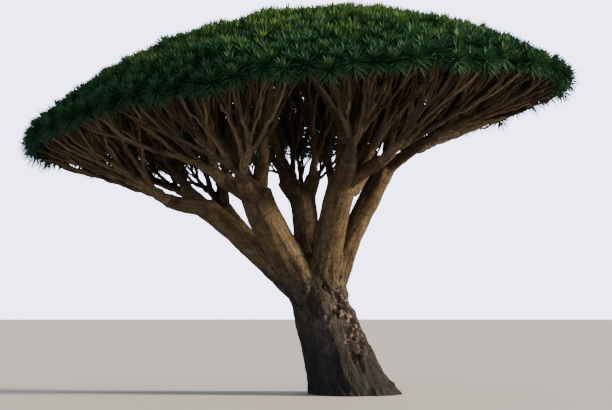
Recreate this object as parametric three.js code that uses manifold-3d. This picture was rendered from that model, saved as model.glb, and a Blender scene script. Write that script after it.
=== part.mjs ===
// Dragon blood tree, whole, in millimetres with +Z up. It stands on the flat cut under its trunk, at the origin.
// The trunk leans to -X and opens into boughs. Each bough carries limbs, and each limb one mass of foliage:
// twigs that fork towards tufts of blades, which together make the umbrella's domed top.
import * as THREE from "three";
import { mergeVertices } from "three/addons/utils/BufferGeometryUtils.js";
import Module from "manifold-3d";

const wasm = await Module();
wasm.setup();

// Crown: a dome over a round rim, tilted so that its -X side hangs lower
const CROWN_CENTRE = new THREE.Vector3(-860, 0, 4570);
const CROWN_TILT = THREE.MathUtils.degToRad(7.1);
const CROWN_REACH = 4440;
const DOME_RISE = 1610;
const DOME_POWER = 0.9;
const STEEPEST_SLOPE = 0.85;
const RIM_CROWDING = 0.47;

// How the wood divides: life-size rosettes on the whole tree, and the girth rule that adds their twigs up
const LIFE_ROSETTES = 1600;
const ROSETTE_TWIG_RADIUS = 19.5;
const PIPE_POWER = 2.4;
const FORK_SAG = 0.2;
const FORK_GIRTH = 0.85;
const HEADING_KEPT = 0.45;
const BRANCH_TURN = 0.6;
const BRANCH_GIRTH = 0.9;
const BRANCH_DEPTH = 0.6;
const RIM_PULL = 5;
const LEAST_PULL = 0.15;

// Foliage masses, and the tufts that each stand for about ten life-size rosettes
const MASSES = 25;
const MASS_SPREAD = 0.93;
const MASS_CROWDING = 0.5;
const MASS_TURN = 0.4;
const TUFTS = 150;
const TUFT_JITTER = 70;
const LIMB_SHARE = 0.3;
const LIMB_MOST_GIRTH = 0.85;
const LIMB_OFFSET = 0.45;
const LIMB_DEPTH = 0.2;
const STEM_GIRTH = 0.92;

// One tuft: a swollen twig end with two rings of broad blades, each blade a spray of leaves
const CORE_RADIUS = 330;
const CORE_DEPTH = 110;
const NECK_RADIUS = 52;
const BLADE_LENGTH = 350;
const BLADE_VARIATION = 0.12;
const BLADE_TRIMS = [1, 0.85, 0.7, 0.55, 0.4];
const LOW_BLADE_RISE = 0.08;
const TOP_BLADE_RISE = 0.8;
const TOP_BLADE_TURN = 0.5;
const SPACE_MARGIN = 12;

// Trunk: half widths at heights above the ground, the lean of its axis, and the toes of its root flare
const TRUNK_LEAN = -0.32;
const TRUNK_PROFILE = [
  [0, 600],
  [250, 560],
  [600, 530],
  [1150, 520],
  [1600, 485],
  [1950, 490],
  [2180, 410],
];
const ROOT_TOES = [
  { azimuth: -12, swell: 0.4 },
  { azimuth: 62, swell: 0.2 },
  { azimuth: 125, swell: 0.24 },
  { azimuth: 190, swell: 0.1 },
  { azimuth: 250, swell: 0.2 },
  { azimuth: 305, swell: 0.16 },
];
const TOE_HEIGHT = 430;
const TOE_SHARPNESS = 6;
const FLUTE_DEPTH = 0.035;

// Boughs: where each ends and its radius there, the share of its length that is fused to the trunk as its foot,
// how far it leans outwards from the start, how steeply it ends, and how much its limbs sag
const BOUGH_START_HEIGHT = 1500;
const BOUGH_START_OFFSET = 190;
const BOUGH_AIM = 0.6;
const BOUGH_FOOT_GIRTH = 1.12;
const BOUGHS = [
  {
    name: "left",
    tip: [-2430, -250, 3100],
    radius: 172,
    footShare: 0.4,
    spread: 0.95,
    endRise: 0.75,
    limbSag: 0.12,
  },
  {
    name: "front_left",
    tip: [-1560, -850, 3280],
    radius: 262,
    footShare: 0.44,
    spread: 0.7,
    endRise: 2.4,
    limbSag: 0.1,
  },
  {
    name: "middle",
    tip: [-800, 300, 3300],
    radius: 212,
    footShare: 0.64,
    spread: 0.5,
    endRise: 3,
    limbSag: 0.17,
  },
  {
    name: "front_right",
    tip: [-130, -750, 3500],
    radius: 230,
    footShare: 0.42,
    spread: 0.35,
    endRise: 2.2,
    limbSag: 0.08,
  },
  {
    name: "right",
    tip: [600, 60, 3780],
    radius: 172,
    footShare: 0.38,
    spread: 0.6,
    endRise: 2,
    limbSag: 0.02,
  },
  {
    name: "back",
    tip: [-830, 1600, 3380],
    radius: 165,
    footShare: 0.52,
    spread: 0.6,
    endRise: 1.6,
    limbSag: 0.1,
  },
  {
    name: "back_left",
    tip: [-2220, 1120, 3190],
    radius: 162,
    footShare: 0.42,
    spread: 0.95,
    endRise: 1.2,
    limbSag: 0.1,
  },
  {
    name: "back_right",
    tip: [-190, 1300, 3620],
    radius: 162,
    footShare: 0.53,
    spread: 0.35,
    endRise: 1.7,
    limbSag: 0.18,
  },
];

// Mesh fineness, and the gap that touching pieces keep
const TRUNK_SIDES = 24;
const TRUNK_RINGS = 12;
const BOUGH_SIDES = 10;
const BOUGH_STEPS = 7;
const LIMB_SIDES = 6;
const LIMB_STEPS = 3;
const TWIG_SIDES = 3;
const CORE_SIDES = 2 * TWIG_SIDES;
const JOINT_GAP = 0.4;
const GOLDEN_ANGLE = Math.PI * (3 - Math.sqrt(5));
const SEED = 20;

const UP = new THREE.Vector3(0, 0, 1);
const crownU = new THREE.Vector3(Math.cos(CROWN_TILT), 0, Math.sin(CROWN_TILT));
const crownV = new THREE.Vector3(0, 1, 0);
const crownUp = new THREE.Vector3(-Math.sin(CROWN_TILT), 0, Math.cos(CROWN_TILT));

// A linear congruential generator, so that every run grows the same tree
function seededRandom(seed) {
  let state = seed >>> 0;
  return () => {
    state = (Math.imul(state, 1664525) + 1013904223) >>> 0;
    return state / 4294967296;
  };
}

// Solids

function solidFrom(points, triangles) {
  const geometry = new THREE.BufferGeometry().setFromPoints(points);
  geometry.setIndex(triangles);
  const merged = mergeVertices(geometry, 1e-3);
  return new wasm.Manifold(
    new wasm.Mesh({
      numProp: 3,
      vertProperties: merged.attributes.position.array,
      triVerts: new Uint32Array(merged.index.array),
    }),
  );
}

function geometryOf(solid) {
  const { vertProperties, triVerts } = solid.getMesh();
  const geometry = new THREE.BufferGeometry();
  geometry.setAttribute("position", new THREE.BufferAttribute(vertProperties, 3));
  geometry.setIndex(new THREE.BufferAttribute(triVerts, 1));
  return geometry;
}

// The skin between rings of equal length that follow each other in the list of points
function skinTriangles(ringCount, sides) {
  const triangles = [];
  for (let ring = 0; ring < ringCount - 1; ring++)
    for (let side = 0; side < sides; side++) {
      const here = ring * sides + side;
      const next = ring * sides + ((side + 1) % sides);
      triangles.push(here, next, next + sides, here, next + sides, here + sides);
    }
  return triangles;
}

// A flat fan that closes a skin under its first ring
function firstCap(sides) {
  const triangles = [];
  for (let side = 1; side < sides - 1; side++) triangles.push(0, side + 1, side);
  return triangles;
}

function loft(rings) {
  const sides = rings[0].length;
  const last = (rings.length - 1) * sides;
  const triangles = [...skinTriangles(rings.length, sides), ...firstCap(sides)];
  for (let side = 1; side < sides - 1; side++) triangles.push(last, last + side, last + side + 1);
  return solidFrom(rings.flat(), triangles);
}

function ringAt(centre, heading, spoke, radius, sides) {
  return Array.from({ length: sides }, (_, side) =>
    spoke
      .clone()
      .applyAxisAngle(heading, (side / sides) * 2 * Math.PI)
      .multiplyScalar(radius)
      .add(centre),
  );
}

// A round tube along a curve, whose radius runs evenly from the first to the last
function taperedTube(curve, firstRadius, lastRadius, sides, steps) {
  const { tangents, normals } = curve.computeFrenetFrames(steps, false);
  const rings = tangents.map((tangent, step) => {
    const share = step / steps;
    const radius = THREE.MathUtils.lerp(firstRadius, lastRadius, share);
    return ringAt(curve.getPointAt(share), tangent, normals[step], radius, sides);
  });
  return loft(rings);
}

// A curve that leaves `from` along `heading` and reaches `to` along `arrival`
function sweep(from, heading, to, arrival) {
  const pull = from.distanceTo(to) / 3;
  return new THREE.CubicBezierCurve3(
    from,
    from.clone().addScaledVector(heading, pull),
    to.clone().addScaledVector(arrival, -pull),
    to,
  );
}

// What of the solid lies past a plane through `point`, on the side that `normal` points to
function beyond(solid, point, normal, gap = 0) {
  return solid.trimByPlane(normal.toArray(), normal.dot(point) + gap);
}

function directionTo(from, to) {
  return to.clone().sub(from).normalize();
}

function blend(a, b, share) {
  return a.clone().lerp(b, share).normalize();
}

function mean(points) {
  const sum = new THREE.Vector3();
  for (const point of points) sum.add(point);
  return sum.divideScalar(points.length);
}

// The crown's shape

function slopeAt(reachShare) {
  const inner = Math.max(1 - reachShare * reachShare, 1e-6);
  const slope =
    (2 * reachShare * DOME_POWER * DOME_RISE * Math.pow(inner, DOME_POWER - 1)) / CROWN_REACH;
  return Math.min(slope, STEEPEST_SLOPE);
}

// A place on the dome where a tuft opens, from its place in the rim's plane
function domePlace(u, v) {
  const reach = Math.hypot(u, v);
  const share = Math.min(reach / CROWN_REACH, 1);
  const height = DOME_RISE * Math.pow(1 - share * share, DOME_POWER);
  const slope = slopeAt(share);
  const point = CROWN_CENTRE.clone()
    .addScaledVector(crownU, u)
    .addScaledVector(crownV, v)
    .addScaledVector(crownUp, height);
  const facing = crownUp
    .clone()
    .addScaledVector(crownU, (slope * u) / Math.max(reach, 1))
    .addScaledVector(crownV, (slope * v) / Math.max(reach, 1))
    .normalize();
  return { u, v, point, facing };
}

// Evenly spread places on a disc, each turned by the golden angle from the one before
function sunflower(count, spread, crowding, turn) {
  return Array.from({ length: count }, (_, i) => {
    const reach = CROWN_REACH * spread * Math.pow((i + 0.5) / count, crowding);
    const angle = i * GOLDEN_ANGLE + turn;
    return { u: reach * Math.cos(angle), v: reach * Math.sin(angle) };
  });
}

function inRimPlane(point) {
  const offset = point.clone().sub(CROWN_CENTRE);
  return { u: offset.dot(crownU), v: offset.dot(crownV) };
}

function gapBetween(a, b) {
  return Math.hypot(a.u - b.u, a.v - b.v);
}

function nearest(places, target) {
  const gaps = places.map((place) => gapBetween(place, target));
  return gaps.indexOf(Math.min(...gaps));
}

function woodRadius(rosettes) {
  return ROSETTE_TWIG_RADIUS * Math.pow(rosettes, 1 / PIPE_POWER);
}

function radiusCarrying(places) {
  return woodRadius((places.length * LIFE_ROSETTES) / TUFTS);
}

// Trunk

function trunkRadius(height) {
  const upper = Math.max(
    TRUNK_PROFILE.findIndex(([top]) => height <= top),
    1,
  );
  const [z0, r0] = TRUNK_PROFILE[upper - 1];
  const [z1, r1] = TRUNK_PROFILE[upper];
  return THREE.MathUtils.lerp(r0, r1, THREE.MathUtils.smoothstep(height, z0, z1));
}

function trunkAxis(height) {
  return new THREE.Vector3(TRUNK_LEAN * height, 0, height);
}

// How much wider than round the trunk is: toes that fade upwards, and a shallow flute between each two boughs
function trunkSwell(angle, height) {
  const fade = Math.exp(-height / TOE_HEIGHT);
  let swell = 1 + FLUTE_DEPTH * Math.cos(BOUGHS.length * angle);
  for (const toe of ROOT_TOES) {
    const facing = Math.max(Math.cos(angle - THREE.MathUtils.degToRad(toe.azimuth)), 0);
    swell += toe.swell * fade * Math.pow(facing, TOE_SHARPNESS);
  }
  return swell;
}

function makeTrunk(boughFeet) {
  const [height] = TRUNK_PROFILE[TRUNK_PROFILE.length - 1];
  const rings = [];
  for (let step = 0; step <= TRUNK_RINGS; step++) {
    const z = (height * step) / TRUNK_RINGS;
    const ring = Array.from({ length: TRUNK_SIDES }, (_, side) => {
      const angle = (side / TRUNK_SIDES) * 2 * Math.PI;
      const radius = trunkRadius(z) * trunkSwell(angle, z);
      const spoke = new THREE.Vector3(Math.cos(angle), Math.sin(angle), 0);
      return trunkAxis(z).addScaledVector(spoke, radius);
    });
    rings.push(ring);
  }
  return beyond(wasm.Manifold.union([loft(rings), ...boughFeet]), new THREE.Vector3(), UP);
}

// Boughs

function boughCurve({ tip, spread, endRise }) {
  const end = new THREE.Vector3(...tip);
  const outward = end.clone().sub(trunkAxis(end.z * BOUGH_AIM)).setZ(0).normalize();
  const start = trunkAxis(BOUGH_START_HEIGHT).addScaledVector(outward, BOUGH_START_OFFSET);
  const heading = blend(trunkAxis(1).normalize(), directionTo(start, end), spread);
  const arrival = outward.addScaledVector(UP, endRise).normalize();
  return sweep(start, heading, end, arrival);
}

function makeBough(bough) {
  const curve = boughCurve(bough);
  const whole = taperedTube(curve, bough.radius * BOUGH_FOOT_GIRTH, bough.radius, BOUGH_SIDES, BOUGH_STEPS);
  const root = curve.getPointAt(bough.footShare);
  const along = curve.getTangentAt(bough.footShare);
  return {
    ...bough,
    root,
    foot: beyond(whole, root, along.clone().negate()),
    solid: beyond(whole, root, along, JOINT_GAP),
    end: curve.getPointAt(1),
    heading: curve.getTangentAt(1),
  };
}

// Limbs

// Where a limb ends: on its way from the bough to its mass, sagging towards the crown's underside
function limbEnd(bough, goal) {
  const end = bough.end.clone().lerp(goal, LIMB_SHARE);
  return end.addScaledVector(crownUp, -bough.limbSag * bough.end.distanceTo(goal));
}

// Limbs of one bough share its wood out, meet on its end and are cut apart halfway between their directions
function makeLimb(mass, siblings) {
  const { bough } = mass;
  const way = directionTo(bough.end, mass.limbEnd);
  const carried = siblings.reduce((sum, other) => sum + other.places.length, mass.places.length);
  const girth = Math.min(Math.pow(mass.places.length / carried, 1 / PIPE_POWER), LIMB_MOST_GIRTH);
  const footRadius = bough.radius * girth;
  const tipRadius = footRadius * FORK_GIRTH;
  const sideways = way.clone().addScaledVector(bough.heading, -way.dot(bough.heading));
  const start = bough.end
    .clone()
    .addScaledVector(sideways, bough.radius * LIMB_OFFSET)
    .addScaledVector(bough.heading, -bough.radius * LIMB_DEPTH);
  const arrival = blend(way, directionTo(mass.limbEnd, mass.goal), BRANCH_TURN);
  const curve = sweep(start, blend(bough.heading, way, BRANCH_TURN), mass.limbEnd, arrival);
  let solid = taperedTube(curve, footRadius, tipRadius, LIMB_SIDES, LIMB_STEPS);
  solid = beyond(solid, bough.end, bough.heading, JOINT_GAP);
  for (const other of siblings) {
    const apart = way.clone().sub(directionTo(bough.end, other.limbEnd)).normalize();
    solid = beyond(solid, bough.end, apart, JOINT_GAP / 2);
  }
  return { solid, end: mass.limbEnd, heading: arrival, tipRadius };
}

// Twigs and tufts

// A twig under way: the rings of its skin so far, and the direction, spoke and girth with which it goes on
function startTwig(at, heading, spoke, radius) {
  return { rings: ringAt(at, heading, spoke, radius, TWIG_SIDES), at, heading, spoke, radius };
}

function carrySpoke(spoke, heading, nextHeading) {
  return spoke.clone().applyQuaternion(new THREE.Quaternion().setFromUnitVectors(heading, nextHeading));
}

function extendTwig(twig, at, heading, radius) {
  const spoke = carrySpoke(twig.spoke, twig.heading, heading);
  const rings = [...twig.rings, ...ringAt(at, heading, spoke, radius, TWIG_SIDES)];
  return { rings, at, heading, spoke, radius };
}

// Where a group of places pulls its branch: towards all of them, and most towards those nearest the rim
function goalOf(places) {
  const sum = new THREE.Vector3();
  let total = 0;
  for (const { u, v, point } of places) {
    const pull = LEAST_PULL + Math.pow(Math.hypot(u, v) / CROWN_REACH, RIM_PULL);
    sum.addScaledVector(point, pull);
    total += pull;
  }
  return sum.divideScalar(total);
}

// Shares places out in two halves across the direction in which they spread most
function halves(places) {
  const u = places.reduce((sum, place) => sum + place.u, 0) / places.length;
  const v = places.reduce((sum, place) => sum + place.v, 0) / places.length;
  let uu = 0;
  let uv = 0;
  let vv = 0;
  for (const place of places) {
    uu += (place.u - u) ** 2;
    uv += (place.u - u) * (place.v - v);
    vv += (place.v - v) ** 2;
  }
  const angle = 0.5 * Math.atan2(2 * uv, uu - vv);
  const along = (place) => place.u * Math.cos(angle) + place.v * Math.sin(angle);
  const sorted = [...places].sort((a, b) => along(a) - along(b));
  const middle = Math.ceil(sorted.length / 2);
  return [sorted.slice(0, middle), sorted.slice(middle)];
}

// Grows a twig towards the places, forking once for each halving, down to one tuft on each place
function growTwigs(twig, places, openTuft) {
  if (places.length === 1) return [openTuft(twig, places[0])];
  const levels = Math.ceil(Math.log2(places.length));
  const goal = goalOf(places);
  const reach = twig.at.distanceTo(goal) / (levels + 1);
  const fork = twig.at.clone().addScaledVector(directionTo(twig.at, goal), reach);
  fork.addScaledVector(crownUp, -FORK_SAG * reach);
  const arrival = blend(twig.heading, directionTo(fork, goal), 1 - HEADING_KEPT);
  const forkRadius = radiusCarrying(places) * FORK_GIRTH;
  const ahead = extendTwig(twig, fork, arrival, forkRadius);
  const [half, otherHalf] = halves(places);
  const aside = blend(arrival, directionTo(fork, goalOf(otherHalf)), BRANCH_TURN);
  const start = fork.clone().addScaledVector(arrival, -forkRadius * BRANCH_DEPTH);
  const branchRadius = forkRadius * BRANCH_GIRTH;
  const branch = startTwig(start, aside, carrySpoke(ahead.spoke, arrival, aside), branchRadius);
  return [...growTwigs(ahead, half, openTuft), ...growTwigs(branch, otherHalf, openTuft)];
}

// A twig that opens into a flat core, with a blade drawn out of each face of the core that has room for one
function makeTuft(twig, { point, facing }, coreRadius, keepsToItsSpace, random) {
  const neck = point.clone().addScaledVector(facing, -CORE_DEPTH);
  const opened = extendTwig(twig, neck, facing, NECK_RADIUS);
  const points = [...opened.rings];
  const core = points.length;
  const lastRing = core - TWIG_SIDES;
  points.push(...ringAt(point, facing, opened.spoke, coreRadius, CORE_SIDES));
  const top = points.push(point.clone().addScaledVector(facing, CORE_DEPTH)) - 1;

  const triangles = [...firstCap(TWIG_SIDES), ...skinTriangles(core / TWIG_SIDES, TWIG_SIDES)];
  const faces = [];
  for (let k = 0; k < TWIG_SIDES; k++) {
    const neckHere = lastRing + k;
    const neckNext = lastRing + ((k + 1) % TWIG_SIDES);
    const left = core + 2 * k;
    const middle = left + 1;
    const right = core + ((2 * k + 2) % CORE_SIDES);
    const turn = 2 * k + 0.5;
    triangles.push(neckHere, neckNext, middle);
    faces.push({ corners: [neckHere, middle, left], rise: LOW_BLADE_RISE, turn });
    faces.push({ corners: [neckNext, right, middle], rise: LOW_BLADE_RISE, turn: turn + 1 });
    faces.push({ corners: [left, middle, top], rise: TOP_BLADE_RISE, turn: turn + TOP_BLADE_TURN });
    faces.push({ corners: [middle, right, top], rise: TOP_BLADE_RISE, turn: turn + 1 + TOP_BLADE_TURN });
  }
  for (const { corners, rise, turn } of faces) {
    const foot = mean(corners.map((corner) => points[corner]));
    const lean = opened.spoke.clone().applyAxisAngle(facing, (turn / CORE_SIDES) * 2 * Math.PI);
    lean.addScaledVector(facing, rise).normalize();
    const length = BLADE_LENGTH * (1 + BLADE_VARIATION * (2 * random() - 1));
    const tips = BLADE_TRIMS.map((trim) => foot.clone().addScaledVector(lean, length * trim));
    const tip = tips.find(keepsToItsSpace);
    const [a, b, c] = corners;
    if (tip) {
      const blade = points.push(tip) - 1;
      triangles.push(a, b, blade, b, c, blade, c, a, blade);
    } else triangles.push(a, b, c);
  }
  return solidFrom(points, triangles);
}

// A mass keeps to its own space: each tuft stays nearer to its own place than to any other, by a margin
function makeMass(mass, limb, allPlaces, random) {
  const openTuft = (twig, place) => {
    const others = allPlaces.filter((other) => other !== place);
    const room = Math.min(...others.map((other) => gapBetween(other, place)));
    const coreRadius = Math.min(CORE_RADIUS, room / 2 - SPACE_MARGIN);
    const keepsToItsSpace = (tip) => {
      const at = inRimPlane(tip);
      const own = gapBetween(place, at) + SPACE_MARGIN;
      return others.every((other) => gapBetween(other, at) > own);
    };
    return makeTuft(twig, place, coreRadius, keepsToItsSpace, random);
  };
  const root = limb.end.clone().addScaledVector(limb.heading, -limb.tipRadius * BRANCH_DEPTH);
  const spoke = crownV.clone().cross(limb.heading).normalize();
  const stem = startTwig(root, limb.heading, spoke, limb.tipRadius * STEM_GIRTH);
  const grown = growTwigs(stem, mass.places, openTuft);
  return beyond(wasm.Manifold.union(grown), limb.end, limb.heading, JOINT_GAP);
}

// Drops any loose scrap that a cut leaves beside the piece
function largestBody(solid) {
  return solid.decompose().reduce((a, b) => (b.volume() > a.volume() ? b : a));
}

// Materials

const barkOfTrunk = new THREE.MeshStandardMaterial({ color: 0x5f564b, roughness: 0.95, metalness: 0 });
const barkOfBoughs = new THREE.MeshStandardMaterial({ color: 0x7b674f, roughness: 0.9, metalness: 0 });
const leafGreen = new THREE.MeshStandardMaterial({ color: 0x34502a, roughness: 0.6, metalness: 0 });

// Assembly

// A group whose own origin lies where a limb or bough springs from
function groupAt(parent, springsFrom) {
  const group = new THREE.Group();
  parent.updateWorldMatrix(true, false);
  group.position.copy(parent.worldToLocal(springsFrom.clone()));
  parent.add(group);
  return group;
}

function addMesh(group, name, solid, material) {
  group.updateWorldMatrix(true, false);
  const geometry = geometryOf(solid).applyMatrix4(group.matrixWorld.clone().invert());
  const mesh = new THREE.Mesh(geometry, material);
  mesh.name = name;
  group.add(mesh);
}

// Shares the tufts' places out to masses, and the masses to the boughs that end nearest under them
function planMasses(boughs, random) {
  const centres = sunflower(MASSES, MASS_SPREAD, MASS_CROWDING, MASS_TURN);
  const places = sunflower(TUFTS, 1, RIM_CROWDING, 0).map(({ u, v }) =>
    domePlace(u + (random() - 0.5) * TUFT_JITTER, v + (random() - 0.5) * TUFT_JITTER),
  );
  const boughEnds = boughs.map(({ end }) => inRimPlane(end));
  return centres.map((centre, i) => {
    const own = places.filter((place) => nearest(centres, place) === i);
    const bough = boughs[nearest(boughEnds, centre)];
    const goal = goalOf(own);
    const number = String(i + 1).padStart(2, "0");
    return { number, bough, goal, places: own, limbEnd: limbEnd(bough, goal) };
  });
}

function buildTree() {
  const tree = new THREE.Group();
  const random = seededRandom(SEED);
  const boughs = BOUGHS.map(makeBough);
  const masses = planMasses(boughs, random);
  const allPlaces = masses.flatMap((mass) => mass.places);
  addMesh(tree, "trunk", makeTrunk(boughs.map(({ foot }) => foot)), barkOfTrunk);
  for (const bough of boughs) {
    const boughGroup = groupAt(tree, bough.root);
    addMesh(boughGroup, `bough_${bough.name}`, bough.solid, barkOfBoughs);
    const carried = masses.filter((mass) => mass.bough === bough);
    for (const mass of carried) {
      const limbGroup = groupAt(boughGroup, bough.end);
      const limb = makeLimb(mass, carried.filter((other) => other !== mass));
      addMesh(limbGroup, `limb_${mass.number}`, largestBody(limb.solid), barkOfBoughs);
      const massGroup = groupAt(limbGroup, limb.end);
      const foliage = largestBody(makeMass(mass, limb, allPlaces, random));
      addMesh(massGroup, `foliage_${mass.number}`, foliage, leafGreen);
    }
  }
  return tree;
}

export default buildTree();
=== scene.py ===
import math
from collections import namedtuple
from functools import lru_cache

import bmesh
import bpy
import numpy as np
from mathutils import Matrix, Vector, noise


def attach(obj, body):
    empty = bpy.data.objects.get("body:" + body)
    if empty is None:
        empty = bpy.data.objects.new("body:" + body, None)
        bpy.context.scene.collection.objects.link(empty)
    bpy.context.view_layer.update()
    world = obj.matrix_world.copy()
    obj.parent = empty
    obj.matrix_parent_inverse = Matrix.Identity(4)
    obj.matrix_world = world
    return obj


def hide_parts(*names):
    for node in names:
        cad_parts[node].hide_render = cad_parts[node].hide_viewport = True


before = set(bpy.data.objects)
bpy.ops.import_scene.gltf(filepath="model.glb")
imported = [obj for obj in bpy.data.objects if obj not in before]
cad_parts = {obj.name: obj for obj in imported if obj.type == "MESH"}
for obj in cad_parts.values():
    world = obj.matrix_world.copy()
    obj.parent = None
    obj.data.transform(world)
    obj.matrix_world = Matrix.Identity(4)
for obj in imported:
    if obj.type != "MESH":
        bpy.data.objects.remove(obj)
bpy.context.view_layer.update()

# Dragon blood tree: bark, branches and leaves over the solid model, in metres with +Z up.
# The boughs, limbs and branches follow the same rule as the solids, and branches are carried on to single
# rosettes.

bl_info = {
    "name": "Dragon blood tree",
    "version": (1, 0, 0),
    "blender": (4, 5, 0),
    "location": "View3D > Sidebar > Dragon tree",
    "description": "Grows the bark, branches and leaves of a dragon blood tree over its solid model",
    "category": "Object",
}

ROOT = "root"

# Crown: a dome over a round rim, tilted so that its -X side hangs lower
CROWN_CENTRE = Vector((-0.86, 0, 4.57))
CROWN_TILT = math.radians(7.1)
CROWN_REACH = 4.44
DOME_RISE = 1.61
DOME_POWER = 0.9
STEEPEST_SLOPE = 0.85
RIM_CROWDING = 0.47
ROSETTE_SPREAD = 1.018
DOME_REACH = CROWN_REACH * ROSETTE_SPREAD
ROSETTE_JITTER = 0.045
ROSETTE_RISE = 0.02
ROSETTE_UNEVENNESS = 0.03
SWELL_WIDTH = 0.55
SWELL_HEIGHT = 0.1
CROWN_U = Vector((math.cos(CROWN_TILT), 0, math.sin(CROWN_TILT)))
CROWN_V = Vector((0, 1, 0))
CROWN_UP = Vector((-math.sin(CROWN_TILT), 0, math.cos(CROWN_TILT)))

# How the wood divides
LIFE_ROSETTES = 1600
ROSETTE_TWIG_RADIUS = 0.0195
PIPE_POWER = 2.4
FORK_SAG = 0.2
FORK_GIRTH = 0.85
HEADING_KEPT = 0.45
BRANCH_TURN = 0.6
BRANCH_GIRTH = 0.9
BRANCH_DEPTH = 0.6
RIM_PULL = 5
LEAST_PULL = 0.15

# Masses of foliage and the limbs that carry them
MASSES = 25
MASS_SPREAD = 0.93
MASS_CROWDING = 0.5
MASS_TURN = 0.4
TUFTS = 150
TUFT_JITTER = 0.07
LIMB_SHARE = 0.3
LIMB_MOST_GIRTH = 0.85
LIMB_OFFSET = 0.45
LIMB_DEPTH = 0.2

# Trunk: the lean of its axis, its half widths at heights above the ground, and the toes of its root flare,
# each with its azimuth in degrees and how far it swells out
TRUNK_LEAN = -0.32
TRUNK_PROFILE = [
    (0, 0.6), (0.25, 0.56), (0.6, 0.53), (1.15, 0.52), (1.6, 0.485), (1.95, 0.49), (2.18, 0.41)]
ROOT_TOES = [(-12, 0.4), (62, 0.2), (125, 0.24), (190, 0.1), (250, 0.2), (305, 0.16)]
TOE_HEIGHT = 0.43
TOE_SHARPNESS = 6
FLUTE_DEPTH = 0.035

# Boughs: where each ends and its radius there, the share of its length that is fused to the trunk as its
# foot, how far it leans outwards from the start, how steeply it ends, and how much its limbs sag
BOUGH_START_HEIGHT = 1.5
BOUGH_START_OFFSET = 0.19
BOUGH_AIM = 0.6
BOUGH_FOOT_GIRTH = 1.12
BOUGHS = {
    "left": dict(
        tip=(-2.43, -0.25, 3.1), radius=0.172, foot_share=0.4, spread=0.95, end_rise=0.75, limb_sag=0.12),
    "front_left": dict(
        tip=(-1.56, -0.85, 3.28), radius=0.262, foot_share=0.44, spread=0.7, end_rise=2.4, limb_sag=0.1),
    "middle": dict(
        tip=(-0.8, 0.3, 3.3), radius=0.212, foot_share=0.64, spread=0.5, end_rise=3, limb_sag=0.17),
    "front_right": dict(
        tip=(-0.13, -0.75, 3.5), radius=0.23, foot_share=0.42, spread=0.35, end_rise=2.2, limb_sag=0.08),
    "right": dict(
        tip=(0.6, 0.06, 3.78), radius=0.172, foot_share=0.38, spread=0.6, end_rise=2, limb_sag=0.02),
    "back": dict(
        tip=(-0.83, 1.6, 3.38), radius=0.165, foot_share=0.52, spread=0.6, end_rise=1.6, limb_sag=0.1),
    "back_left": dict(
        tip=(-2.22, 1.12, 3.19), radius=0.162, foot_share=0.42, spread=0.95, end_rise=1.2, limb_sag=0.1),
    "back_right": dict(
        tip=(-0.19, 1.3, 3.62), radius=0.162, foot_share=0.53, spread=0.35, end_rise=1.7, limb_sag=0.18),
}

GOLDEN_ANGLE = math.pi * (3 - math.sqrt(5))
SEED = 20
UP = Vector((0, 0, 1))


# What a user would change

def colour_setting(name, description, default):
    return bpy.props.FloatVectorProperty(
        name=name, description=description, default=default, subtype="COLOR", min=0, max=1)


class WoodSettings(bpy.types.PropertyGroup):
    voxel: bpy.props.FloatProperty(
        name="Skin grain", description="Mesh size of the skin over trunk, boughs and limbs",
        default=0.023, min=0.01, unit="LENGTH")
    trunk_relief: bpy.props.FloatProperty(
        name="Trunk relief", description="Depth of the lumps and furrows of the trunk",
        default=0.042, min=0, unit="LENGTH")
    bough_relief: bpy.props.FloatProperty(
        name="Bough relief", description="Depth of the swellings and ridges of boughs and limbs",
        default=0.019, min=0, unit="LENGTH")
    scar_depth: bpy.props.FloatProperty(
        name="Scar depth", description="How deep the scarred side of the trunk is eaten in",
        default=0.055, min=0, unit="LENGTH")
    waist: bpy.props.FloatProperty(
        name="Waist", description="How much thinner a branch is between two forks than at them",
        default=0.16, min=0, max=0.5, subtype="FACTOR")


class LeafSettings(bpy.types.PropertyGroup):
    per_rosette: bpy.props.IntProperty(
        name="Leaves", description="Leaves in one rosette", default=78, min=8)
    length: bpy.props.FloatProperty(
        name="Length", description="Length of a full-grown leaf", default=0.27, min=0.05, unit="LENGTH")
    width: bpy.props.FloatProperty(
        name="Width", description="Greatest width of a leaf", default=0.030, min=0.005, unit="LENGTH")
    droop: bpy.props.FloatProperty(
        name="Droop", description="How far a leaf's tip bends down, as a share of its length",
        default=0.12, min=0, max=1, subtype="FACTOR")


class BarkColours(bpy.types.PropertyGroup):
    trunk: colour_setting("Trunk", "Grey-brown of the trunk's bark", (0.098, 0.084, 0.070))
    # The trunk's dark is also painted into its furrows as painted shade, the deeper the darker
    trunk_dark: colour_setting("Trunk furrows", "Dark brown in the trunk's furrows", (0.019, 0.017, 0.015))
    foot: colour_setting(
        "Foot", "Cold grey of the weathered streaks on the trunk's foot", (0.033, 0.035, 0.039))
    bough: colour_setting("Boughs", "Warm grey-brown of the boughs", (0.178, 0.122, 0.056))
    # The boughs' dark is also painted into their furrows as painted shade, the deeper the darker
    bough_dark: colour_setting(
        "Bough rings", "Darker brown in the boughs' rings and wrinkles", (0.045, 0.031, 0.017))
    twig: colour_setting(
        "Branches", "Paler brown of the branches and twigs under the crown", (0.21, 0.152, 0.078))
    lichen: colour_setting("Lichen", "Pale grey of the crusts and streaks on the bark", (0.24, 0.225, 0.19))
    scar: colour_setting("Scar", "Reddish brown of dried resin on the scarred side", (0.024, 0.012, 0.010))
    crust: colour_setting(
        "Crust", "Pinkish grey of the dry bark left on the scarred side", (0.27, 0.21, 0.18))


# Five greens, dealt by chance and as painted light: lighter ones to the crown's top and lit side, darker at
# the rim
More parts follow.
